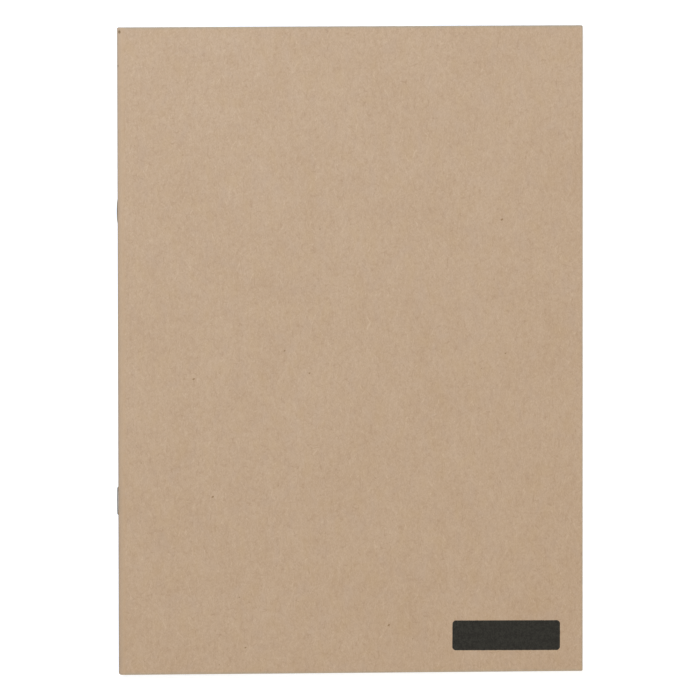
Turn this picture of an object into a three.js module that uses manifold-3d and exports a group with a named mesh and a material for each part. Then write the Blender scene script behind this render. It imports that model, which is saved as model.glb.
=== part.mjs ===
// A stapled A4 exercise book, closed and lying on its back cover. Millimetres, +Z up.
// +X runs from the spine to the fore edge, and +Y from the foot of the page to its head.
// Eighteen folded sheets nest inside one folded card cover, and two wire staples hold them at the fold.
// Each sheet is a front leaf, a back leaf and the fold that joins them, because its leaves turn apart.

import * as THREE from "three";
import { mergeVertices } from "three/addons/utils/BufferGeometryUtils.js";
import Module from "manifold-3d";

// Pages
const pageHeight = 297;
const foreEdge = 210.5; // from the fold line to the trimmed edge
const foreEdgeRounding = 0.5; // of the corners at the head and the foot
const spineRounding = 1;
const sheetCount = 18;
const sheetThickness = 0.1;
const airBetweenSheets = 0.02;

// Cover
const cardThickness = 0.35;

// Staples
const wireDiameter = 0.5;
const crownLength = 13;
const clinchLength = 3.6; // what is left of each leg, turned in at the centre spread
const topStapleFromHead = 84.2;
const bottomStapleFromFoot = 79.9;
const topCrownLift = 0.02; // from the card to the wire
const bottomCrownLift = 0.1;

// Clearances
const wireToPage = 0.06; // from the clinched wire to the centre spread on each side of it
const wireToFold = 0.02; // from the clinched wire to the innermost fold
const wireToHole = 0.05; // round each leg, in the holes that it pierces
const wireToLeafEdge = 0.3; // so that a leaf swings past the legs
const innerBendRadius = 0.05;
const weldDistance = 0.0001; // corners closer than this are one corner

// Facets
const foldFacets = 10;
const cornerFacets = 4;
const bendFacets = 3;
const wireSides = 8;

// What follows from these sizes. The fold line is the centre of every fold, and of every turning leaf.
const quarterTurn = Math.PI / 2;
const wireRadius = wireDiameter / 2;
const centreRadius = wireRadius + wireToPage;
const sheetPitch = sheetThickness + airBetweenSheets;
const coverInside = centreRadius + sheetCount * sheetPitch;
const coverOutside = coverInside + cardThickness;
const leafStart = wireRadius + wireToLeafEdge;
const holeWidth = wireDiameter + 2 * wireToHole;
const bendRadius = wireRadius + innerBendRadius;
const legSpread = crownLength / 2 - wireRadius;
const clinchLine = wireRadius + wireToFold - centreRadius;
const furthestCrown = coverOutside + Math.max(topCrownLift, bottomCrownLift) + wireDiameter;
const foldLineX = (furthestCrown - foreEdge) / 2; // centres the whole book on the origin
const foldLineZ = coverOutside;

const wasm = await Module();
wasm.setup();

const kraft = new THREE.MeshStandardMaterial({ color: 0xc3a98b, roughness: 0.88, metalness: 0 });
const paper = new THREE.MeshStandardMaterial({ color: 0xf2f0ea, roughness: 0.85, metalness: 0 });
const wire = new THREE.MeshStandardMaterial({ color: 0x9c9a94, roughness: 0.34, metalness: 1 });

function solidOf(geometry) {
  const bare = geometry.clone();
  bare.deleteAttribute("normal");
  bare.deleteAttribute("uv");
  const merged = mergeVertices(bare, weldDistance);
  const mesh = new wasm.Mesh({
    numProp: 3,
    vertProperties: merged.attributes.position.array,
    triVerts: new Uint32Array(merged.index.array),
  });
  return new wasm.Manifold(mesh);
}

function geometryOf(solid) {
  const mesh = solid.getMesh();
  const geometry = new THREE.BufferGeometry();
  geometry.setAttribute("position", new THREE.BufferAttribute(mesh.vertProperties, 3));
  geometry.setIndex(new THREE.BufferAttribute(mesh.triVerts, 1));
  return geometry;
}

// A flat panel of paper or card, on the fold line's height, from its turning edge to the fore edge.
function panelGeometry(thickness) {
  const halfHeight = pageHeight / 2;
  const roundingX = foreEdge - foreEdgeRounding;
  const roundingY = halfHeight - foreEdgeRounding;
  const outline = new THREE.Shape();
  outline.absarc(roundingX, -roundingY, foreEdgeRounding, -quarterTurn, 0);
  outline.absarc(roundingX, roundingY, foreEdgeRounding, 0, quarterTurn);
  outline.lineTo(leafStart, halfHeight);
  outline.lineTo(leafStart, -halfHeight);
  return new THREE.ExtrudeGeometry(outline, {
    depth: thickness,
    bevelEnabled: false,
    curveSegments: cornerFacets / 2,
  });
}

// The bend of a sheet or of the cover round the fold line, pierced by the four legs of the staples.
function foldGeometry(insideRadius, thickness) {
  const outsideRadius = insideRadius + thickness;
  const section = new THREE.Shape();
  section.absarc(0, 0, outsideRadius, quarterTurn, 3 * quarterTurn);
  section.lineTo(leafStart, -outsideRadius);
  section.lineTo(leafStart, -insideRadius);
  section.absarc(0, 0, insideRadius, 3 * quarterTurn, quarterTurn, true);
  section.lineTo(leafStart, insideRadius);
  section.lineTo(leafStart, outsideRadius);
  const bend = new THREE.ExtrudeGeometry(section, {
    depth: pageHeight,
    bevelEnabled: false,
    curveSegments: foldFacets / 2,
  });
  bend.rotateX(quarterTurn);
  bend.translate(0, pageHeight / 2, 0);

  let solid = solidOf(bend);
  for (const legY of legLines()) {
    const reach = outsideRadius + wireDiameter;
    const hole = new THREE.BoxGeometry(reach, holeWidth, holeWidth);
    hole.translate(-reach / 2, legY, 0);
    solid = solid.subtract(solidOf(hole));
  }
  if (outsideRadius - sheetThickness > coverOutside - spineRounding) {
    const waste = spineCornerGeometry();
    solid = solid.subtract(solidOf(waste));
    waste.rotateX(Math.PI);
    solid = solid.subtract(solidOf(waste));
  }
  return geometryOf(solid);
}

// What the rounding takes off the spine at the head of the book, from the outermost card inwards.
function spineCornerGeometry() {
  const head = pageHeight / 2;
  const roundingX = spineRounding - coverOutside;
  const beyond = spineRounding;
  const waste = new THREE.Shape();
  waste.absarc(roundingX, head - spineRounding, spineRounding, quarterTurn, 2 * quarterTurn);
  waste.lineTo(-coverOutside - beyond, head - spineRounding);
  waste.lineTo(-coverOutside - beyond, head + beyond);
  waste.lineTo(roundingX, head + beyond);
  const geometry = new THREE.ExtrudeGeometry(waste, {
    depth: 2 * coverOutside,
    bevelEnabled: false,
    curveSegments: cornerFacets / 2,
  });
  geometry.translate(0, 0, -coverOutside);
  return geometry;
}

function stapleLines() {
  return {
    top: pageHeight / 2 - topStapleFromHead,
    bottom: bottomStapleFromFoot - pageHeight / 2,
  };
}

function legLines() {
  const lines = Object.values(stapleLines());
  return lines.flatMap((y) => [y - legSpread, y + legSpread]);
}

// One quarter bend of the wire's centre line, round a centre, from one heading to the next.
function quarterBend(centreX, centreY, fromAngle) {
  const points = [];
  for (let step = 0; step <= bendFacets; step += 1) {
    const angle = fromAngle + (quarterTurn * step) / bendFacets;
    const x = centreX + bendRadius * Math.cos(angle);
    const y = centreY + bendRadius * Math.sin(angle);
    points.push({ x, y, heading: angle + quarterTurn });
  }
  return points;
}

// The staple's centre line, from one clinched tip through the crown to the other tip.
function stapleLine(crownX) {
  const legTurnX = clinchLine - bendRadius;
  const crownTurnX = crownX + bendRadius;
  const turnY = legSpread - bendRadius;
  const tipY = legSpread - clinchLength;
  return [
    { x: clinchLine, y: tipY, heading: quarterTurn },
    ...quarterBend(legTurnX, turnY, 0),
    ...quarterBend(crownTurnX, turnY, quarterTurn),
    ...quarterBend(crownTurnX, -turnY, 2 * quarterTurn),
    ...quarterBend(legTurnX, -turnY, 3 * quarterTurn),
    { x: clinchLine, y: -tipY, heading: quarterTurn },
  ];
}

// A round wire along a flat line: one ring of corners at each point, and a cap at each end.
function wireGeometry(line) {
  const positions = [];
  const triangles = [];
  for (const { x, y, heading } of line) {
    for (let side = 0; side < wireSides; side += 1) {
      const round = (side * 2 * Math.PI) / wireSides;
      const across = wireRadius * Math.cos(round);
      const up = wireRadius * Math.sin(round);
      positions.push(x + across * Math.sin(heading), y - across * Math.cos(heading), up);
    }
  }
  for (let ring = 0; ring + 1 < line.length; ring += 1) {
    for (let side = 0; side < wireSides; side += 1) {
      const next = (side + 1) % wireSides;
      const a = ring * wireSides + side;
      const b = ring * wireSides + next;
      triangles.push(a, b + wireSides, b, a, a + wireSides, b + wireSides);
    }
  }
  const lastRing = (line.length - 1) * wireSides;
  for (let side = 1; side + 1 < wireSides; side += 1) {
    triangles.push(0, side, side + 1);
    triangles.push(lastRing, lastRing + side + 1, lastRing + side);
  }
  const geometry = new THREE.BufferGeometry();
  geometry.setAttribute("position", new THREE.Float32BufferAttribute(positions, 3));
  geometry.setIndex(triangles);
  return geometry;
}

function named(name, geometry, material) {
  const mesh = new THREE.Mesh(geometry, material);
  mesh.name = name;
  return mesh;
}

function sheet(number) {
  const insideRadius = centreRadius + (sheetCount - number) * sheetPitch;
  const label = `sheet_${String(number).padStart(2, "0")}`;
  const front = named(`${label}_front_leaf`, panelGeometry(sheetThickness), paper);
  front.position.z = insideRadius;
  const back = named(`${label}_back_leaf`, panelGeometry(sheetThickness), paper);
  back.position.z = -insideRadius - sheetThickness;
  const fold = named(`${label}_fold`, foldGeometry(insideRadius, sheetThickness), paper);
  const group = new THREE.Group();
  group.add(front, fold, back);
  return group;
}

function cover() {
  const front = named("front_cover", panelGeometry(cardThickness), kraft);
  front.position.z = coverInside;
  const back = named("back_cover", panelGeometry(cardThickness), kraft);
  back.position.z = -coverOutside;
  const spine = named("cover_spine", foldGeometry(coverInside, cardThickness), kraft);
  const group = new THREE.Group();
  group.add(front, spine, back);
  return group;
}

function staple(place, crownLift) {
  const crownX = -coverOutside - crownLift - wireRadius;
  const mesh = named(`staple_${place}`, wireGeometry(stapleLine(crownX)), wire);
  mesh.position.y = stapleLines()[place];
  return mesh;
}

const notebook = new THREE.Group();
notebook.add(cover());
for (let number = 1; number <= sheetCount; number += 1) notebook.add(sheet(number));
notebook.add(staple("top", topCrownLift), staple("bottom", bottomCrownLift));
notebook.position.set(foldLineX, 0, foldLineZ);

export default notebook;
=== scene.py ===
import math
from typing import NamedTuple

import bpy
from bpy.props import FloatProperty, FloatVectorProperty, IntProperty, PointerProperty
from mathutils import Euler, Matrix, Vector


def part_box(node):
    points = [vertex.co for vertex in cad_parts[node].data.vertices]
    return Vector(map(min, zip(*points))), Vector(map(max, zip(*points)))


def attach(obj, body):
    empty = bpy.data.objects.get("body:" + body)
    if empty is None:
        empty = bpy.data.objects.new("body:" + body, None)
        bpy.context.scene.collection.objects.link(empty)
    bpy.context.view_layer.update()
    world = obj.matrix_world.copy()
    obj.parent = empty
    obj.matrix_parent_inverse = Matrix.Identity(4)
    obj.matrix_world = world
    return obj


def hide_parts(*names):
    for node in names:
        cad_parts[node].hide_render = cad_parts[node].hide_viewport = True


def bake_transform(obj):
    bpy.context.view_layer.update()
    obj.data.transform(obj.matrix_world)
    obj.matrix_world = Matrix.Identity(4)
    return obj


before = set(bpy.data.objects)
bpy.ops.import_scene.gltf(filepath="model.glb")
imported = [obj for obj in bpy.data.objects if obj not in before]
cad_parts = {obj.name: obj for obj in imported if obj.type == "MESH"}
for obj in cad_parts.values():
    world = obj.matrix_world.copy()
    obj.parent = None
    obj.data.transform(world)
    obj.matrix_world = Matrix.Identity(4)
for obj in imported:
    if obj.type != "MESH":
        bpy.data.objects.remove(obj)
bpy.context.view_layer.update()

bl_info = {
    "name": "Stapled notebook",
    "version": (1, 0, 0),
    "blender": (4, 5, 0),
    "location": "View3D > Sidebar > Notebook",
    "description": "Builds a stapled A4 exercise book with a kraft-card cover and ruled pages",
    "category": "Add Mesh",
}

# Sizes that come from the frame, in metres. The fold line runs up through the middle of the spine.
FRONT_LOW, FRONT_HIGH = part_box("front_cover")
COVER_RADIUS = FRONT_HIGH.z / 2
CARD_THICKNESS = FRONT_HIGH.z - FRONT_LOW.z
FOLD_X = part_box("cover_spine")[0].x + COVER_RADIUS
FOLD_Z = COVER_RADIUS
PANEL_START = FRONT_LOW.x - FOLD_X
FORE_EDGE = FRONT_HIGH.x - FOLD_X
HALF_HEIGHT = FRONT_HIGH.y
SHEETS = sum(1 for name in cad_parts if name.endswith("_fold"))

QUARTER = math.pi / 2
CARD_MIDDLE = COVER_RADIUS - CARD_THICKNESS / 2
FLAT_HALF_WIDTH = FORE_EDGE + CARD_MIDDLE * QUARTER  # of the cover, when it is opened out flat

# Corner roundings that the frame's solids have, in metres.
FORE_EDGE_ROUNDING = 0.0005
SPINE_ROUNDING = 0.001
ROUNDING_STEPS = 5

# How card and paper bend, in metres and in steps. Distances are taken from the fold line.
SETTLE_REACH = 0.03  # a leaf takes this far to find its place in the evenly filled block
PAGE_BEVEL = 0.00001
PAGE_CURL = 0.003  # strip of a page beside its fold that is cut into extra stations
PAGE_CURL_STEPS = 6
CREASE_STEPS = 26
CARD_FOLD_STEPS = 20
PAGE_FOLD_STEPS = 8
PANEL_MARKS = (0.0045, 0.007, 0.012, 0.02, 0.03, 0.07, 0.13, 0.19)  # stations along the flat leaf
STRIP_SHARP = 0.6  # edges that turn by more than this many radians stay crisp

# Cross-section of a strip. Its eight sides start with the outer face and go round it.
RING_CORNERS = 8
OUTER_SIDES = (0, 1, 7)  # the outer face and its two bevels

# Staple wire, in metres.
CLINCH_LENGTH = 0.0036
INNER_BEND = 0.00005
CROWN_STEPS = 16
TIP_SOFTNESS = 0.25  # share of the wire's radius that the cut tips are rounded by
WIRE_SHARP = 0.9

# Depth of the relief of each surface, in metres.
CARD_RELIEF = 0.00003
PAPER_RELIEF = 0.00002
STEEL_RELIEF = 0.000006

# The card's texture is drawn out along the spine by these scales across and up.
CARD_GRAIN = (1.25, 0.8, 1)

# How much red, green and blue each follow the card's lighter and darker places.
BROAD_SHARES = (0.74, 1.065, 1.5)
FINE_SHARES = (0.82, 1.07, 1.22)

# Each layer of fibres has its turn, and a shift that sets it apart from the others.
FIBRE_LAYERS = ((0.35, 0.0), (1.25, 3.1), (2.15, 6.7), (2.9, 9.4))
# A layer of hairs also has its brightness, and how strongly it shows.
HAIR_LAYERS = (
    (0.7, 1.7, 1.26, 0.50),
    (1.6, 4.3, 0.62, 0.34),
    (2.5, 7.9, 1.26, 0.50),
    (0.1, 11.3, 0.62, 0.34),
)
FLECK_CELLS = 62.0  # per metre
FLECK_SHARE = 0.34  # of the cells hold a fleck
LARGE_FLECK_SHARE = 0.09

# Marked and darker places of the card, in metres: darker cut edges, rubbed scuffs, and painted shade and a
# painted warm tint along the spine. A pair says where each begins and where it is full.
EDGE_DARKENING = (0.0013, 0.0001)  # from the cut edge
SIDE_DARKENING_INSET = 0.000275  # the cut edge's darkening is this much narrower at the fore edge
SPINE_PAINTED_WARMTH = (0.0054, 0.0034)  # painted warm tint that offsets the window lamp's blue light on the curved spine; from the middle of the spine
# Painted shade at the nose of the spine, where its curve turns away from the light; from the middle of the
# spine.
NOSE_PAINTED_SHADE = (0.0021, 0.0011)
SCUFFS = ((0.0022, 0.0021, 0.0007), (0.0013, 0.0177, 0.0005))  # across, from the head, radius

# How far an outline wanders in and out, in metres.
EDGE_FRAY = 0.0012
SPINE_FRAY = 0.002
SCUFF_FRAY = 0.0012
INK_FRAY = 0.00022
INK_FEATHER = 0.00006  # half the width of the ink's soft outline

# Stage, in metres.
CAMERA_ASIDE = (-0.3638, 0.3792)
CAMERA_TURN = (-4.323, -4.171, -0.074)  # in degrees
CAMERA_RANGE = (0.05, 20.0)  # the nearest and the furthest that it sees
SENSOR_WIDTH = 36.0  # in millimetres
FLOOR_REACH = 4.0
FLOOR_STEPS = 8
FLOOR_GAP = 0.00005
LIFT_TINT = (0.885, 1.0, 1.14, 1)  # of the brightness that the floor adds for the camera
TINT_FADE = (0.4, 1.0)  # from the middle of the floor, over which that tint fades to white
LIFT_RISE = (0.4, 1.4)  # and over which the brightness rises to white


class CoverSettings(bpy.types.PropertyGroup):
    """The kraft-card cover and the plain panel printed on it."""

    card_color: FloatVectorProperty(
        name="Card colour", description="Colour of the kraft card", subtype="COLOR",
        size=3, min=0, max=1, default=(0.5315, 0.393, 0.270))
    ink_color: FloatVectorProperty(
        name="Ink colour", description="Colour of the printed panel", subtype="COLOR",
        size=3, min=0, max=1, default=(0.0100, 0.0103, 0.0084))
    edge_bevel: FloatProperty(
        name="Edge softness", description="Bevel along the cut edges of the card",
        default=0.00006, min=0, unit="LENGTH")
    crease_reach: FloatProperty(
        name="Crease", description="Width of the strip that bends where the front cover turns",
        default=0.0018, min=0.0001, unit="LENGTH")
    panel_width: FloatProperty(
        name="Panel width", description="Width of the printed panel",
        default=0.04965, min=0, unit="LENGTH")
    panel_height: FloatProperty(
        name="Panel height", description="Height of the printed panel",
        default=0.0138, min=0, unit="LENGTH")
    panel_rounding: FloatProperty(
        name="Panel rounding", description="Corner radius of the printed panel",
        default=0.0017, min=0, unit="LENGTH")
    panel_skew: FloatProperty(
        name="Panel skew", description="Turn of the printed panel on the card, clockwise",
        default=0.0055, subtype="ANGLE")
    panel_from_edge: FloatProperty(
        name="Panel to fore edge", description="Gap from the panel to the fore edge",
        default=0.010415, min=0, unit="LENGTH")
    panel_from_foot: FloatProperty(
        name="Panel to foot", description="Gap from the panel to the foot of the cover",
        default=0.00988, min=0, unit="LENGTH")


class PageSettings(bpy.types.PropertyGroup):
    """The folded sheets and the ruling on their pages."""

    paper_color: FloatVectorProperty(
        name="Paper colour", description="Colour of the pages", subtype="COLOR",
        size=3, min=0, max=1, default=(0.86, 0.845, 0.80))
    rule_color: FloatVectorProperty(
        name="Rule colour", description="Colour of the ruled lines", subtype="COLOR",
        size=3, min=0, max=1, default=(0.36, 0.45, 0.58))
    rule_pitch: FloatProperty(
        name="Rule pitch", description="Distance from one ruled line to the next",
        default=0.008, min=0.001, unit="LENGTH")
    rule_width: FloatProperty(
        name="Rule width", description="Thickness of a ruled line",
        default=0.00022, min=0.00001, unit="LENGTH")
    head_margin: FloatProperty(
        name="Head margin", description="Blank strip above the first ruled line",
        default=0.021, min=0, unit="LENGTH")
    foot_margin: FloatProperty(
        name="Foot margin", description="Blank strip below the last ruled line",
        default=0.013, min=0, unit="LENGTH")


class StapleSettings(bpy.types.PropertyGroup):
    """The two wire staples."""

    # Its warm tint is painted: it stands in for the kraft card's warm light that the wire reflects, and
    # offsets the window lamp's blue.
    steel_and_painted_warmth_color: FloatVectorProperty(
        name="Steel colour", description="Colour of the staple wire", subtype="COLOR",
        size=3, min=0, max=1, default=(0.230, 0.209, 0.180))
    crown_press: FloatVectorProperty(
        name="Crown press", description="How far the top and the bottom crown are pressed in",
        size=2, min=0, unit="LENGTH", default=(0.00014, 0.00003))
    crown_bow: FloatVectorProperty(
        name="Crown bow", description="How far the ends of the top and the bottom crown bend in",
        size=2, min=0, unit="LENGTH", default=(0.00050, 0.00008))
    wire_sides: IntProperty(
        name="Wire sides", description="Faces round the wire", default=20, min=8, max=48)
    bend_steps: IntProperty(
        name="Bend steps", description="Steps in each bend of the wire", default=8, min=2, max=24)


class StageSettings(bpy.types.PropertyGroup):
    """The camera, the lamps and the floor."""

    camera_distance: FloatProperty(
        name="Camera distance", description="From the camera to the cover",
        default=5.0, min=0.5, unit="LENGTH")
    view_width: FloatProperty(
        name="Width in view", description="Width of what the camera sees at the book",
        default=0.31922, min=0.1, unit="LENGTH")
    room_color: FloatVectorProperty(
        name="Room colour", description="Tint of the even light", subtype="COLOR",
        size=3, min=0, max=2, default=(1.13, 1.0, 0.90))
    world_strength: FloatProperty(
        name="Room light", description="Even light from all round", default=0.265, min=0)
    lamp_power: FloatProperty(
        name="Lamp power", description="Power of the large soft lamp",
        default=16.0, min=0, unit="POWER")
    fill_share: FloatProperty(
        name="Fill light", description="Power of the fill lamp, as a share of the large lamp's",
        default=0.585, min=0)
    floor_color: FloatVectorProperty(
        name="Floor colour", description="Colour of the floor", subtype="COLOR",
        size=3, min=0, max=1, default=(0.88, 0.88, 0.88))
    floor_lift: FloatProperty(
        name="Floor lift", description="Brightness that the floor adds for the camera alone",
        default=0.56, min=0)


class Nodes:
    """Writes the node tree of a material or a world one call at a time.
    Inputs may be sockets or numbers."""

    def __init__(self, owner):
        self.owner = owner
        owner.use_nodes = True
        self.tree = owner.node_tree
        self.tree.nodes.clear()

    def put(self, kind, values=None, **settings):
        node = self.tree.nodes.new(kind)
        for key, value in settings.items():
            setattr(node, key, value)
        for key, value in (values or {}).items():
            self.set(node.inputs[key], value)
        return node

    def set(self, socket, value):
        if isinstance(value, bpy.types.NodeSocket):
            self.tree.links.new(value, socket)
        else:
            socket.default_value = value

    def flat(self):
        """The place on the piece when it is opened out flat, in metres."""
        return self.put("ShaderNodeUVMap", uv_map="flat").outputs[0]

    def split(self, vector):
        parts = self.put("ShaderNodeSeparateXYZ", {0: vector})
        return parts.outputs[0], parts.outputs[1]

    def math(self, operation, a, b=0.0):
        return self.put("ShaderNodeMath", {0: a, 1: b}, operation=operation).outputs[0]

    def total(self, start, *parts):
        """start plus each part's value times its share."""
        result = start
        for value, share in parts:
            result = self.math("ADD", result, self.math("MULTIPLY", value, share))
        return result

    def length(self, a, b):
        squares = self.math("ADD", self.math("MULTIPLY", a, a), self.math("MULTIPLY", b, b))
        return self.math("SQRT", squares)

    def frayed(self, distance, noise, width):
        """distance, moved in and out over a width by noise."""
        shift = self.math("MULTIPLY", self.math("SUBTRACT", noise, 0.5), width)
        return self.math("ADD", distance, shift)

    def ramp(self, value, low, high, to_low=0.0, to_high=1.0):
        """value from low..high to to_low..to_high, smoothly and without going past them."""
        node = self.put("ShaderNodeMapRange", {
            "Value": value, "From Min": low, "From Max": high, "To Min": to_low, "To Max": to_high,
        }, interpolation_type="SMOOTHSTEP")
        return node.outputs["Result"]

    def mix(self, share, a, b, blend="MIX"):
        """Two colours mixed. Sockets 6 and 7 are the node's inputs for colours."""
        node = self.put("ShaderNodeMix", {0: share, 6: a, 7: b}, data_type="RGBA", blend_type=blend)
        return node.outputs[2]

    def swayed(self, color, shift, shares):
        """color times 1 + shift, where red, green and blue each take their own share of the shift."""
        factor = self.put("ShaderNodeVectorMath", {0: shares, 1: shift, 2: (1, 1, 1)},
                          operation="MULTIPLY_ADD")
        return self.mix(1.0, color, factor.outputs[0], "MULTIPLY")

    def noise(self, vector, scale, detail=2.0, roughness=0.5, distortion=0.0):
        node = self.put("ShaderNodeTexNoise", {
            "Vector": vector, "Scale": scale, "Detail": detail, "Roughness": roughness,
            "Distortion": distortion,
        })
        return node.outputs["Fac"]

    def stretched(self, vector, turn, stretch, shift=0.0):
        """vector turned in the sheet's plane by an angle and drawn out along it."""
        turned = self.put("ShaderNodeMapping", {
            "Vector": vector, "Rotation": (0, 0, turn), "Location": (shift, shift, 0)})
        drawn = self.put("ShaderNodeMapping", {
            "Vector": turned.outputs[0], "Scale": (1, 1 / stretch, 1)})
        return drawn.outputs[0]

    def finish(self, color, roughness, height, depth, **sockets):
        """Ends a material with its shader, and gives the material."""
        bump = self.put("ShaderNodeBump", {"Height": height, "Distance": depth, "Strength": 1.0})
        shader = self.put("ShaderNodeBsdfPrincipled", {
            "Base Color": color, "Roughness": roughness, "Normal": bump.outputs[0]})
        for key, value in sockets.items():
            shader.inputs[key.replace("_", " ")].default_value = value
        self.put("ShaderNodeOutputMaterial", {"Surface": shader.outputs[0]})
        return self.owner


def rgba(color, times=1.0):
    return (*[min(1.0, part * times) for part in color], 1.0)


def tinted(color, red, green, blue):
    return (color[0] * red, color[1] * green, color[2] * blue, 1.0)


class KraftCard:
    """Kraft card: cloudy colour, crossing fibres, dark flecks, scuffs on the spine and darker cut edges, with
    painted shade and a painted warm tint along the spine.
    Its flat place runs across from the middle of the spine, and up. Noise scales are per metre.
    grainwise is the same place drawn out along the spine, as most of the fibres lie."""

    def __init__(self, name, settings):
        self.n = Nodes(bpy.data.materials.new(name))
        self.settings = settings
        self.base = settings.card_color
        self.flat = self.n.flat()
        self.across, self.up = self.n.split(self.flat)
        grain = self.n.put("ShaderNodeMapping", {"Vector": self.flat, "Scale": CARD_GRAIN})
        self.grainwise = grain.outputs[0]
        self.patch = self.n.noise(self.grainwise, scale=110, detail=3, roughness=0.6)
        self.pulp = self.n.noise(self.grainwise, scale=480, detail=3, roughness=0.62)
        self.speckle = self.n.noise(self.grainwise, scale=1500, roughness=0.6)
        self.wobble = self.n.noise(self.flat, scale=2600)

    def make(self, printed):
        n = self.n
        color, strands = self.fibres(self.clouds())
        color = self.flecks(self.hairs(color))
        color = self.scuffs(self.edge_darkening_and_painted_spine_shading(color))
        roughness = n.total(0.80, (self.pulp, 0.14))
        if printed:
            ink = self.panel()
            worn = n.ramp(n.math("ADD", self.pulp, self.speckle), 0.78, 1.24)
            ink_color = self.settings.ink_color
            inked = n.mix(worn, rgba(ink_color, 0.50), rgba(ink_color, 2.1))
            color = n.mix(n.math("MULTIPLY", ink, 0.992), color, inked)
            roughness = n.total(roughness, (ink, -0.26))
        height = n.total(0.0, (self.pulp, 0.9), (self.speckle, 0.35), *((strand, 0.45) for strand in strands))
        return n.finish(color, roughness, height, CARD_RELIEF, Specular_IOR_Level=0.18)

    def shaded(self, times):
        """The card's colour, lighter or darker by times, as its fibres are."""
        return tinted(self.base, *(1 + share * (times - 1) for share in FINE_SHARES))

    def clouds(self):
        """The card's colour, lighter and darker in clouds, and yellower or greyer in patches."""
        n = self.n
        cloud = n.noise(self.grainwise, scale=26, detail=3, roughness=0.55, distortion=0.3)
        tint = n.noise(self.grainwise, scale=105, detail=3, roughness=0.6, distortion=0.5)
        broad = n.total(-0.15, (cloud, 0.13), (self.patch, 0.17))
        fine = n.total(-0.315, (self.pulp, 0.28), (self.speckle, 0.35))
        color = n.swayed(rgba(self.base), broad, BROAD_SHARES)
        color = n.swayed(color, fine, FINE_SHARES)
        color = n.mix(n.ramp(tint, 0.50, 0.70, 0, 0.36), color, tinted(self.base, 1, 0.985, 0.88))
        return n.mix(n.ramp(tint, 0.48, 0.30, 0, 0.36), color, tinted(self.base, 0.97, 0.995, 1.08))

    def fibres(self, color):
        """Short fibres that cross, pale and dark. Gives the colour, and the fibres for the relief."""
        n = self.n
        strands = []
        for turn, shift in FIBRE_LAYERS:
            drawn = n.stretched(self.grainwise, turn, stretch=6.0, shift=shift)
            strand = n.noise(drawn, scale=1500, distortion=0.25)
            color = n.mix(n.ramp(strand, 0.61, 0.70, 0, 0.30), color, self.shaded(1.20))
            color = n.mix(n.ramp(strand, 0.39, 0.315, 0, 0.24), color, self.shaded(0.70))
            strands.append(strand)
        return color, strands

    def hairs(self, color):
        """Thin single hairs here and there, two sets of them pale and two dark."""
        n = self.n
        for turn, shift, times, share in HAIR_LAYERS:
            drawn = n.stretched(self.grainwise, turn, stretch=4.0, shift=shift)
            waves = n.noise(drawn, scale=700, detail=1, roughness=0.4, distortion=0.5)
            beside = n.math("ABSOLUTE", n.math("SUBTRACT", waves, 0.5))
            lying = n.ramp(n.noise(drawn, scale=460, detail=1, roughness=0.4), 0.56, 0.63, 0, share)
            seen = n.math("MULTIPLY", n.ramp(beside, 0.016, 0.006), lying)
            color = n.mix(seen, color, self.shaded(times))
        return color

    def flecks(self, color):
        """Dark flecks, one in some of the cells of a scattered grid, and a few of them large.
        Their reach is a share of a cell's width."""
        n = self.n
        cells = n.put("ShaderNodeTexVoronoi", {
            "Vector": n.stretched(self.flat, turn=0.9, stretch=1.6), "Scale": FLECK_CELLS,
        }, voronoi_dimensions="2D", feature="F1", distance="EUCLIDEAN")
        drawn_lots = n.put("ShaderNodeSeparateColor", {0: cells.outputs["Color"]})
        chance, size = drawn_lots.outputs[0], drawn_lots.outputs[1]
        here = n.math("GREATER_THAN", chance, 1 - FLECK_SHARE)
        large = n.math("GREATER_THAN", chance, 1 - LARGE_FLECK_SHARE)
        reach = n.total(0.0, (size, 0.018), (large, 0.015), (self.wobble, -0.012))
        inside = n.math("SUBTRACT", reach, cells.outputs["Distance"])
        fleck = n.math("MULTIPLY", n.ramp(inside, -0.004, 0.004), here)
        return n.mix(n.math("MULTIPLY", fleck, 0.62), color, tinted(self.base, 0.35, 0.25, 0.06))

    def edge_darkening_and_painted_spine_shading(self, color):
        """Darker and greyer along the cut edges. Painted shade at the nose of the spine, where its curve
        turns from the light, and beside it a painted warm tint that offsets the window lamp's blue on the
        curve.
        """
        n = self.n
        from_middle = n.math("ABSOLUTE", self.across)
        from_side = n.math("SUBTRACT", FLAT_HALF_WIDTH + SIDE_DARKENING_INSET, from_middle)
        from_end = n.math("SUBTRACT", HALF_HEIGHT, n.math("ABSOLUTE", self.up))
        edge = n.frayed(n.math("MINIMUM", from_side, from_end), self.pulp, EDGE_FRAY)
        # darker and greyer along the cut edges
        color = n.mix(n.ramp(edge, *EDGE_DARKENING, 0, 0.5), color, tinted(self.base, 0.73, 0.92, 1.04))
        spine = n.frayed(from_middle, self.patch, SPINE_FRAY)
        # painted light: a warm tint beside the spine that offsets the window lamp's blue on its curve
        color = n.mix(n.ramp(spine, *SPINE_PAINTED_WARMTH, 0, 0.6), color, tinted(self.base, 1, 0.98, 0.93))
        # painted shade: the nose of the spine darker and greyer, as its curve turns from the light
        return n.mix(n.ramp(spine, *NOSE_PAINTED_SHADE, 0, 0.22), color, tinted(self.base, 0.74, 0.84, 0.92))

    def scuffs(self, color):
        """Small dark rubbed marks on the spine."""
        n = self.n
        for across, from_head, radius in SCUFFS:
            by_across = n.math("SUBTRACT", self.across, across)
            by_up = n.math("SUBTRACT", self.up, HALF_HEIGHT - from_head)
            near = n.frayed(n.length(by_across, by_up), self.wobble, SCUFF_FRAY)
            rubbed = n.ramp(near, radius * 1.4, radius * 0.5, 0, 0.9)
            color = n.mix(rubbed, color, tinted(self.base, 0.39, 0.35, 0.24))
        return color

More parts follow.
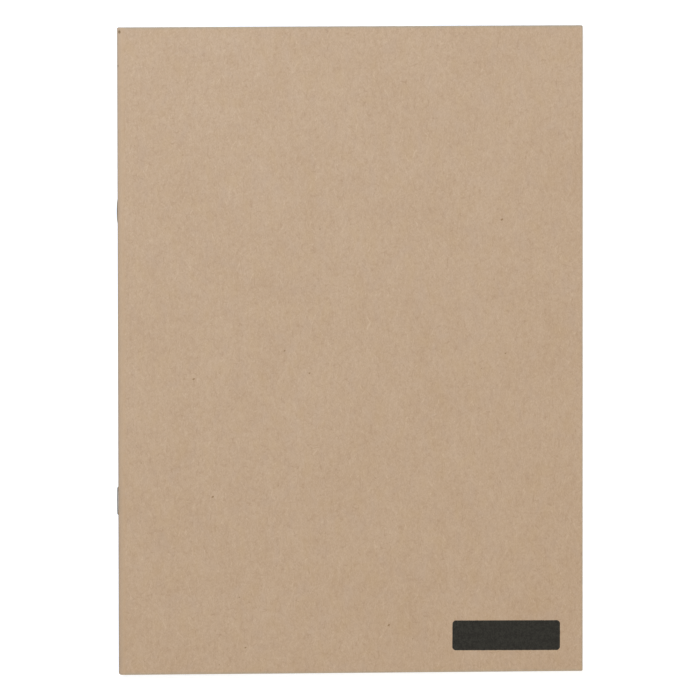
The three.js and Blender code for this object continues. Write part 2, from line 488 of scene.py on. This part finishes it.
    def panel(self):
        """1 on the printed panel and 0 off it, with a slightly feathered outline."""
        n, size = self.n, self.settings
        rounding, skew = size.panel_rounding, size.panel_skew
        middle_across = FLAT_HALF_WIDTH - size.panel_from_edge - size.panel_width / 2
        middle_up = size.panel_from_foot + size.panel_height / 2 - HALF_HEIGHT
        by_across = n.math("SUBTRACT", self.across, middle_across)
        by_up = n.math("SUBTRACT", self.up, middle_up)
        turned = (n.total(by_across, (by_up, -skew)), n.total(by_up, (by_across, skew)))
        past = []
        for distance, whole in zip(turned, (size.panel_width, size.panel_height)):
            over = n.math("SUBTRACT", n.math("ABSOLUTE", distance), whole / 2 - rounding)
            past.append(n.math("MAXIMUM", over, 0.0))
        outside = n.math("SUBTRACT", n.length(*past), rounding)
        return n.ramp(n.frayed(outside, self.pulp, INK_FRAY), INK_FEATHER, -INK_FEATHER)


def ruled_paper(name, settings, shade):
    """Writing paper: faint clouds and fibres, ruled across, with a bare head and foot."""
    n = Nodes(bpy.data.materials.new(name))
    flat = n.flat()
    up = n.split(flat)[1]
    cloud = n.noise(flat, scale=140, detail=3, roughness=0.6)
    fibre = n.noise(n.stretched(flat, turn=0.5, stretch=9.0), scale=1500)
    grain = n.noise(flat, scale=2600, detail=1)
    tone = n.total(0.945, (cloud, 0.06), (fibre, 0.03), (grain, 0.02))
    color = n.mix(1.0, rgba(settings.paper_color, shade), tone, "MULTIPLY")

    below_first = n.math("SUBTRACT", HALF_HEIGHT - settings.head_margin, up)
    from_line = n.math("PINGPONG", below_first, settings.rule_pitch / 2)
    line = n.math("SUBTRACT", settings.rule_width / 2, from_line)
    above_foot = n.math("GREATER_THAN", up, settings.foot_margin - HALF_HEIGHT)
    below_head = n.math("GREATER_THAN", below_first, -settings.rule_pitch / 4)
    ink = n.math("MULTIPLY", n.ramp(line, -0.00005, 0.00005), n.math("MULTIPLY", below_head, above_foot))
    ink = n.math("MULTIPLY", ink, n.ramp(fibre, 0.25, 0.6, 0.62, 0.9))
    color = n.mix(ink, color, rgba(settings.rule_color))

    roughness = n.total(0.78, (cloud, 0.12))
    height = n.total(cloud, (fibre, 0.6))
    return n.finish(color, roughness, height, PAPER_RELIEF, Specular_IOR_Level=0.3)


def staple_steel(name, settings):
    """Drawn staple wire: fine lines along the wire, patches of dulled coating."""
    n = Nodes(bpy.data.materials.new(name))
    flat = n.flat()
    along = n.put("ShaderNodeMapping", {"Vector": flat, "Scale": (60, 2600, 1)}).outputs[0]
    drawn = n.noise(along, scale=1)
    dull = n.noise(flat, scale=700, detail=3, roughness=0.6)
    # The wire's colour carries a painted warm tint, for the kraft card's light that it reflects.
    steel_and_painted_warmth = settings.steel_and_painted_warmth_color
    color = n.mix(n.ramp(dull, 0.42, 0.66, 0, 0.55), rgba(steel_and_painted_warmth), rgba(steel_and_painted_warmth, 0.62))
    color = n.mix(n.ramp(drawn, 0.45, 0.75, 0, 0.3), color, rgba(steel_and_painted_warmth, 1.45))
    roughness = n.total(0.26, (dull, 0.22), (drawn, 0.08))
    height = n.total(drawn, (dull, 0.5))
    return n.finish(color, roughness, height, STEEL_RELIEF, Metallic=1.0)


def ring_faces(rings, corners):
    """Faces that join each ring of corners to the next, and a cap at each end."""
    faces = []
    for ring in range(rings - 1):
        for corner in range(corners):
            a = ring * corners + corner
            b = ring * corners + (corner + 1) % corners
            faces.append((a, a + corners, b + corners, b))
    last = (rings - 1) * corners
    faces.append(tuple(range(corners)))
    faces.append(tuple(range(last + corners - 1, last - 1, -1)))
    return faces


def add_piece(name, vertices, faces, coordinates, materials, sharp, outer=()):
    """A mesh object with its flat coordinates as a UV map. Where it has two materials, the faces
    whose numbers are in outer take the first, and the rest take the second."""
    mesh = bpy.data.meshes.new(name)
    mesh.from_pydata(vertices, [], faces)
    layer = mesh.uv_layers.new(name="flat")
    for loop in mesh.loops:
        layer.data[loop.index].uv = coordinates[loop.vertex_index]
    for material in materials:
        mesh.materials.append(material)
    if len(materials) > 1:
        for polygon in mesh.polygons:
            polygon.material_index = 0 if polygon.index in outer else 1
    mesh.polygons.foreach_set("use_smooth", [True] * len(mesh.polygons))
    mesh.set_sharp_from_angle(angle=sharp)
    mesh.validate()
    mesh.update()
    piece = bpy.data.objects.new(name, mesh)
    bpy.context.scene.collection.objects.link(piece)
    return piece


class Station(NamedTuple):
    """One cross-section of a folded strip, in metres from the fold line."""

    x: float
    z: float
    normal_x: float
    normal_z: float
    flat: float  # from the middle of the spine, along the strip
    half_height: float
    blunt: bool  # the cut end, which is smaller all round by the bevel


def rounded_off(into, rounding):
    """How much a rounded corner takes off the half height, at a distance into the corner."""
    into = min(max(into, 0), rounding)
    return rounding - math.sqrt(max(rounding ** 2 - into ** 2, 0))


def strip_stations(radius, side, bevel, curl, fold_steps, settle=0.0):
    """Stations of a folded strip, from the middle of the spine to the fore edge, on one side of it.
    side is 1 in front of the fold line and -1 behind it. curl holds the width and the steps of the
    strip next to the fold, which is cut into finer stations. settle is how far the strip drifts off its
    height as it leaves the fold."""
    places = []
    for step in range(fold_steps + 1):
        angle = QUARTER * step / fold_steps
        normal_x, normal_z = -math.cos(angle), side * math.sin(angle)
        places.append((normal_x * radius, normal_z * radius, normal_x, normal_z, radius * angle))

    curl_width, curl_steps = curl
    marks = [PANEL_START + curl_width * step / curl_steps for step in range(curl_steps + 1)]
    marks += PANEL_MARKS
    for step in range(ROUNDING_STEPS):
        mark = FORE_EDGE - FORE_EDGE_ROUNDING * (1 - math.sin(QUARTER * step / ROUNDING_STEPS))
        if mark < FORE_EDGE - bevel:
            marks.append(mark)
    marks += [FORE_EDGE - bevel, FORE_EDGE]
    for mark in marks:
        share = min(max((mark - PANEL_START) / SETTLE_REACH, 0), 1)
        drift = settle * share * share * (3 - 2 * share)
        places.append((mark, side * (radius + drift), 0, side, radius * QUARTER + mark))

    stations = []
    for x, z, normal_x, normal_z, flat in places:
        half_height = HALF_HEIGHT
        half_height -= rounded_off(x - (FORE_EDGE - FORE_EDGE_ROUNDING), FORE_EDGE_ROUNDING)
        half_height -= rounded_off(SPINE_ROUNDING - COVER_RADIUS - x, SPINE_ROUNDING)
        stations.append(Station(x, z, normal_x, normal_z, flat, half_height, x >= FORE_EDGE))
    return stations


def strip_piece(name, stations, thickness, bevel, side, materials):
    """A closed strip of card or paper along its stations, with softened cut edges."""
    vertices, coordinates = [], []
    for station in stations:
        inset, soft = (bevel, 0) if station.blunt else (0, bevel)
        h = station.half_height - inset
        t = thickness / 2 - inset
        ring = ((soft - h, t), (h - soft, t), (h, t - soft), (h, soft - t),
                (h - soft, -t), (soft - h, -t), (-h, soft - t), (-h, t - soft))
        for y, out in ring:
            x = FOLD_X + station.x + station.normal_x * out
            z = FOLD_Z + station.z + station.normal_z * out
            vertices.append((x, y, z))
            coordinates.append((side * station.flat, y))
    faces = ring_faces(len(stations), RING_CORNERS)
    sides = len(faces) - 2
    outer = {index for index in range(sides) if index % RING_CORNERS in OUTER_SIDES}
    if side < 0:
        faces = [face[::-1] for face in faces]
    return add_piece(name, vertices, faces, coordinates, materials, STRIP_SHARP, outer)


def quarter_bend(centre_x, centre_y, bend, begin, steps):
    """Points of a quarter turn of the wire, each with its heading."""
    angles = [begin + QUARTER * step / steps for step in range(steps + 1)]
    return [(centre_x + bend * math.cos(angle), centre_y + bend * math.sin(angle), angle + QUARTER)
            for angle in angles]


def staple_route(crown_x, clinch_x, half_length, bow, bend, steps):
    """The wire's middle, from one clinched tip through the crown to the other, as (x, y, heading).
    The crown's ends bend in by bow, towards the sheets."""
    bend_y = half_length - bend
    tip_y = half_length - CLINCH_LENGTH
    crown_bend_x = crown_x + bow + bend
    clinch_bend_x = clinch_x - bend
    crown = []
    for step in range(1, CROWN_STEPS):
        along = 1 - 2 * step / CROWN_STEPS
        slope = 3 * bow * along * abs(along) / bend_y
        heading = 3 * QUARTER - math.atan(slope)
        crown.append((crown_x + bow * abs(along) ** 3, bend_y * along, heading))
    return [
        (clinch_x, tip_y, QUARTER),
        *quarter_bend(clinch_bend_x, bend_y, bend, 0, steps),
        *quarter_bend(crown_bend_x, bend_y, bend, QUARTER, steps),
        *crown,
        *quarter_bend(crown_bend_x, -bend_y, bend, 2 * QUARTER, steps),
        *quarter_bend(clinch_bend_x, -bend_y, bend, 3 * QUARTER, steps),
        (clinch_x, -tip_y, QUARTER),
    ]


def moved(point, along):
    """A point of the wire, moved along its own heading."""
    x, y, heading = point
    return (x + along * math.cos(heading), y + along * math.sin(heading), heading)


def wire_piece(name, route, radius, sides, middle_y, material):
    """A closed round wire along a route, with softened tips."""
    softness = radius * TIP_SOFTNESS
    tip = radius - softness
    rings = [
        (route[0], tip),
        (moved(route[0], softness), radius),
        *((point, radius) for point in route[1:-1]),
        (moved(route[-1], -softness), radius),
        (route[-1], tip),
    ]
    vertices, coordinates = [], []
    run = 0.0
    previous = route[0]
    for point, ring_radius in rings:
        x, y, heading = point
        run += math.dist(point[:2], previous[:2])
        previous = point
        for side in range(sides):
            angle = 2 * math.pi * side / sides
            out = ring_radius * math.cos(angle)
            up = ring_radius * math.sin(angle)
            vertices.append((x + out * math.sin(heading), middle_y + y - out * math.cos(heading),
                             FOLD_Z + up))
            coordinates.append((run, radius * angle))
    faces = ring_faces(len(rings), sides)
    return add_piece(name, vertices, faces, coordinates, [material], WIRE_SHARP)


class NOTEBOOK_OT_cover(bpy.types.Operator):
    """Make the folded kraft-card cover, with its rounded spine and crease"""

    bl_idname = "notebook.cover"
    bl_label = "Cover"

    def execute(self, context):
        settings = context.scene.notebook_cover
        card = KraftCard("kraft card", settings).make(printed=False)
        printed = KraftCard("printed kraft card", settings).make(printed=True)
        bevel = settings.edge_bevel
        crease = (settings.crease_reach, CREASE_STEPS)
        back = strip_stations(CARD_MIDDLE, -1, bevel, crease, CARD_FOLD_STEPS)
        front = strip_stations(CARD_MIDDLE, 1, bevel, crease, CARD_FOLD_STEPS)

        back_card = strip_piece("back_cover_card", back, CARD_THICKNESS, bevel, -1, [card])
        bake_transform(back_card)
        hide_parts("back_cover")

        spine_stations = front[:CARD_FOLD_STEPS + 2]
        spine_card = strip_piece("spine_card", spine_stations, CARD_THICKNESS, bevel, 1, [card])
        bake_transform(spine_card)
        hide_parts("cover_spine")

        front_stations = front[CARD_FOLD_STEPS + 1:]
        front_card = strip_piece("front_cover_card", front_stations, CARD_THICKNESS, bevel, 1,
                                 [printed, card])
        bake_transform(front_card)
        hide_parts("front_cover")
        return {"FINISHED"}


class NOTEBOOK_OT_sheets(bpy.types.Operator):
    """Make the folded sheets: for each a front page, a fold and a back page of ruled paper"""

    bl_idname = "notebook.sheets"
    bl_label = "Sheets"

    def execute(self, context):
        settings = context.scene.notebook_sheets
        papers = [ruled_paper(f"ruled paper {shade}", settings, tone)
                  for shade, tone in (("plain", 1.0), ("dull", 0.965), ("soft", 0.985))]
        for number in range(1, SHEETS + 1):
            self.sheet(number, papers[number % len(papers)])
        return {"FINISHED"}

    def sheet(self, number, paper):
        name = f"sheet_{number:02d}"
        low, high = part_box(f"{name}_front_leaf")
        thickness = high.z - low.z
        middle = (low.z + high.z) / 2 - FOLD_Z
        even_pitch = (COVER_RADIUS - CARD_THICKNESS) / SHEETS
        settle = even_pitch * (SHEETS - number + 0.5) - middle
        curl = (PAGE_CURL, PAGE_CURL_STEPS)
        above = strip_stations(middle, 1, PAGE_BEVEL, curl, PAGE_FOLD_STEPS, settle)
        below = strip_stations(middle, -1, PAGE_BEVEL, curl, PAGE_FOLD_STEPS, settle)

        front = strip_piece(f"{name}_front_page", above, thickness, PAGE_BEVEL, 1, [paper])
        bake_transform(front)
        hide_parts(f"{name}_front_leaf")

        fold_stations = below[:PAGE_FOLD_STEPS + 2]
        fold = strip_piece(f"{name}_fold_paper", fold_stations, thickness, PAGE_BEVEL, -1, [paper])
        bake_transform(fold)
        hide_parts(f"{name}_fold")

        back_stations = below[PAGE_FOLD_STEPS + 1:]
        back = strip_piece(f"{name}_back_page", back_stations, thickness, PAGE_BEVEL, -1, [paper])
        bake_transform(back)
        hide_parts(f"{name}_back_leaf")


class NOTEBOOK_OT_staples(bpy.types.Operator):
    """Make the two wire staples, from crown to clinched tips"""

    bl_idname = "notebook.staples"
    bl_label = "Staples"

    def execute(self, context):
        settings = context.scene.notebook_staples
        steel_and_painted_warmth = staple_steel("staple wire", settings)
        for place, press, bow in zip(("top", "bottom"), settings.crown_press, settings.crown_bow):
            low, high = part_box(f"staple_{place}")
            radius = (high.z - low.z) / 2
            half_length = (high.y - low.y) / 2 - radius
            route = staple_route(low.x + radius + press, high.x - radius, half_length, bow,
                                 radius + INNER_BEND, settings.bend_steps)
            piece = wire_piece(f"{place}_staple_wire", route, radius, settings.wire_sides,
                               (low.y + high.y) / 2, steel_and_painted_warmth)
            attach(piece, "spine")
            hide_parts(f"staple_{place}")
        return {"FINISHED"}


class NOTEBOOK_OT_stage(bpy.types.Operator):
    """Set the camera above the book, with soft light and a pale floor"""

    bl_idname = "notebook.stage"
    bl_label = "Stage"

    def execute(self, context):
        settings = context.scene.notebook_stage
        scene = context.scene
        scene.view_settings.view_transform = "Standard"
        self.camera(scene, settings)
        self.lamp(scene, "window lamp", place=(-0.52, 0.85, 1.05), size=1.0,
                  power=settings.lamp_power, color=(0.88, 1.0, 1.18))
        self.lamp(scene, "fill lamp", place=(0.7, -0.7, 1.5), size=1.6,
                  power=settings.lamp_power * settings.fill_share, color=(1.20, 1.0, 0.68))
        self.floor(scene, settings)
        self.room(scene, settings)
        return {"FINISHED"}

    def camera(self, scene, settings):
        data = bpy.data.cameras.new("overhead camera")
        data.sensor_width = SENSOR_WIDTH
        data.lens = SENSOR_WIDTH * settings.camera_distance / settings.view_width
        data.clip_start, data.clip_end = CAMERA_RANGE
        camera = bpy.data.objects.new("overhead camera", data)
        scene.collection.objects.link(camera)
        camera.rotation_mode = "XYZ"
        camera.location = (*CAMERA_ASIDE, settings.camera_distance)
        camera.rotation_euler = Euler([math.radians(turn) for turn in CAMERA_TURN], "XYZ")
        scene.camera = camera

    def lamp(self, scene, name, place, size, power, color):
        """A square soft lamp that faces the middle of the book."""
        data = bpy.data.lights.new(name, "AREA")
        data.shape = "SQUARE"
        data.size = size
        data.energy = power
        data.color = color
        lamp = bpy.data.objects.new(name, data)
        scene.collection.objects.link(lamp)
        lamp.location = place
        lamp.rotation_euler = (-Vector(place)).to_track_quat("-Z", "Y").to_euler()

    def floor(self, scene, settings):
        across = FLOOR_STEPS + 1
        spots = [FLOOR_REACH * (2 * step / FLOOR_STEPS - 1) for step in range(across)]
        vertices = [(x, y, 0) for y in spots for x in spots]
        faces = []
        for row in range(FLOOR_STEPS):
            for column in range(FLOOR_STEPS):
                corner = row * across + column
                faces.append((corner, corner + 1, corner + across + 1, corner + across))
        mesh = bpy.data.meshes.new("floor")
        mesh.from_pydata(vertices, [], faces)
        mesh.materials.append(self.floor_paint(settings))
        floor = bpy.data.objects.new("floor", mesh)
        scene.collection.objects.link(floor)
        floor.location = (0, 0, -FLOOR_GAP)

    def floor_paint(self, settings):
        """Matt and pale. For the camera alone it is lifted towards white, and far off it is white."""
        n = Nodes(bpy.data.materials.new("pale floor"))
        place = n.put("ShaderNodeTexCoord").outputs["Object"]
        cloud = n.noise(place, scale=3)
        color = n.mix(cloud, rgba(settings.floor_color), rgba(settings.floor_color, 0.995))
        matt = n.put("ShaderNodeBsdfDiffuse", {"Color": color})
        seen = n.put("ShaderNodeLightPath").outputs["Is Camera Ray"]
        away = n.put("ShaderNodeVectorMath", {0: place}, operation="LENGTH").outputs["Value"]
        tint = n.mix(n.ramp(away, *TINT_FADE), LIFT_TINT, (1, 1, 1, 1))
        strength = n.math("MULTIPLY", seen, n.ramp(away, *LIFT_RISE, settings.floor_lift, 1.0))
        lift = n.put("ShaderNodeEmission", {"Color": tint, "Strength": strength})
        both = n.put("ShaderNodeAddShader", {0: matt.outputs[0], 1: lift.outputs[0]})
        n.put("ShaderNodeOutputMaterial", {"Surface": both.outputs[0]})
        return n.owner

    def room(self, scene, settings):
        """An even room light, which the camera and mirroring surfaces see as plain white."""
        scene.world = bpy.data.worlds.new("white room")
        n = Nodes(scene.world)
        path = n.put("ShaderNodeLightPath").outputs
        straight = n.math("MAXIMUM", path["Is Camera Ray"], path["Is Transmission Ray"])
        plain = n.math("MAXIMUM", straight, path["Is Glossy Ray"])
        strength = settings.world_strength
        even = tinted(settings.room_color, strength, strength, strength)
        glow = n.mix(plain, even, (1, 1, 1, 1))
        background = n.put("ShaderNodeBackground", {"Color": glow})
        n.put("ShaderNodeOutputWorld", {"Surface": background.outputs[0]})


class NOTEBOOK_PT_panel(bpy.types.Panel):
    """Lists the steps that build the notebook, and their settings"""

    bl_idname = "NOTEBOOK_PT_panel"
    bl_label = "Stapled notebook"
    bl_space_type = "VIEW_3D"
    bl_region_type = "UI"
    bl_category = "Notebook"

    def draw(self, context):
        for step in STEPS:
            column = self.layout.box().column()
            column.operator(f"notebook.{step}")
            settings = getattr(context.scene, f"notebook_{step}")
            for key in settings.bl_rna.properties.keys():
                if key not in ("rna_type", "name"):
                    column.prop(settings, key)


# Each step's operator, in the order of making, with its settings.
STEPS = {
    "cover": CoverSettings,
    "sheets": PageSettings,
    "staples": StapleSettings,
    "stage": StageSettings,
}
CLASSES = (
    *STEPS.values(), NOTEBOOK_OT_cover, NOTEBOOK_OT_sheets, NOTEBOOK_OT_staples,
    NOTEBOOK_OT_stage, NOTEBOOK_PT_panel,
)


def register():
    for cls in CLASSES:
        bpy.utils.register_class(cls)
    for step, group in STEPS.items():
        setattr(bpy.types.Scene, f"notebook_{step}", PointerProperty(type=group))


def unregister():
    for step in STEPS:
        delattr(bpy.types.Scene, f"notebook_{step}")
    for cls in reversed(CLASSES):
        bpy.utils.unregister_class(cls)


def main():
    register()
    for step in STEPS:
        getattr(bpy.ops.notebook, step)()


if __name__ == "__main__":
    main()
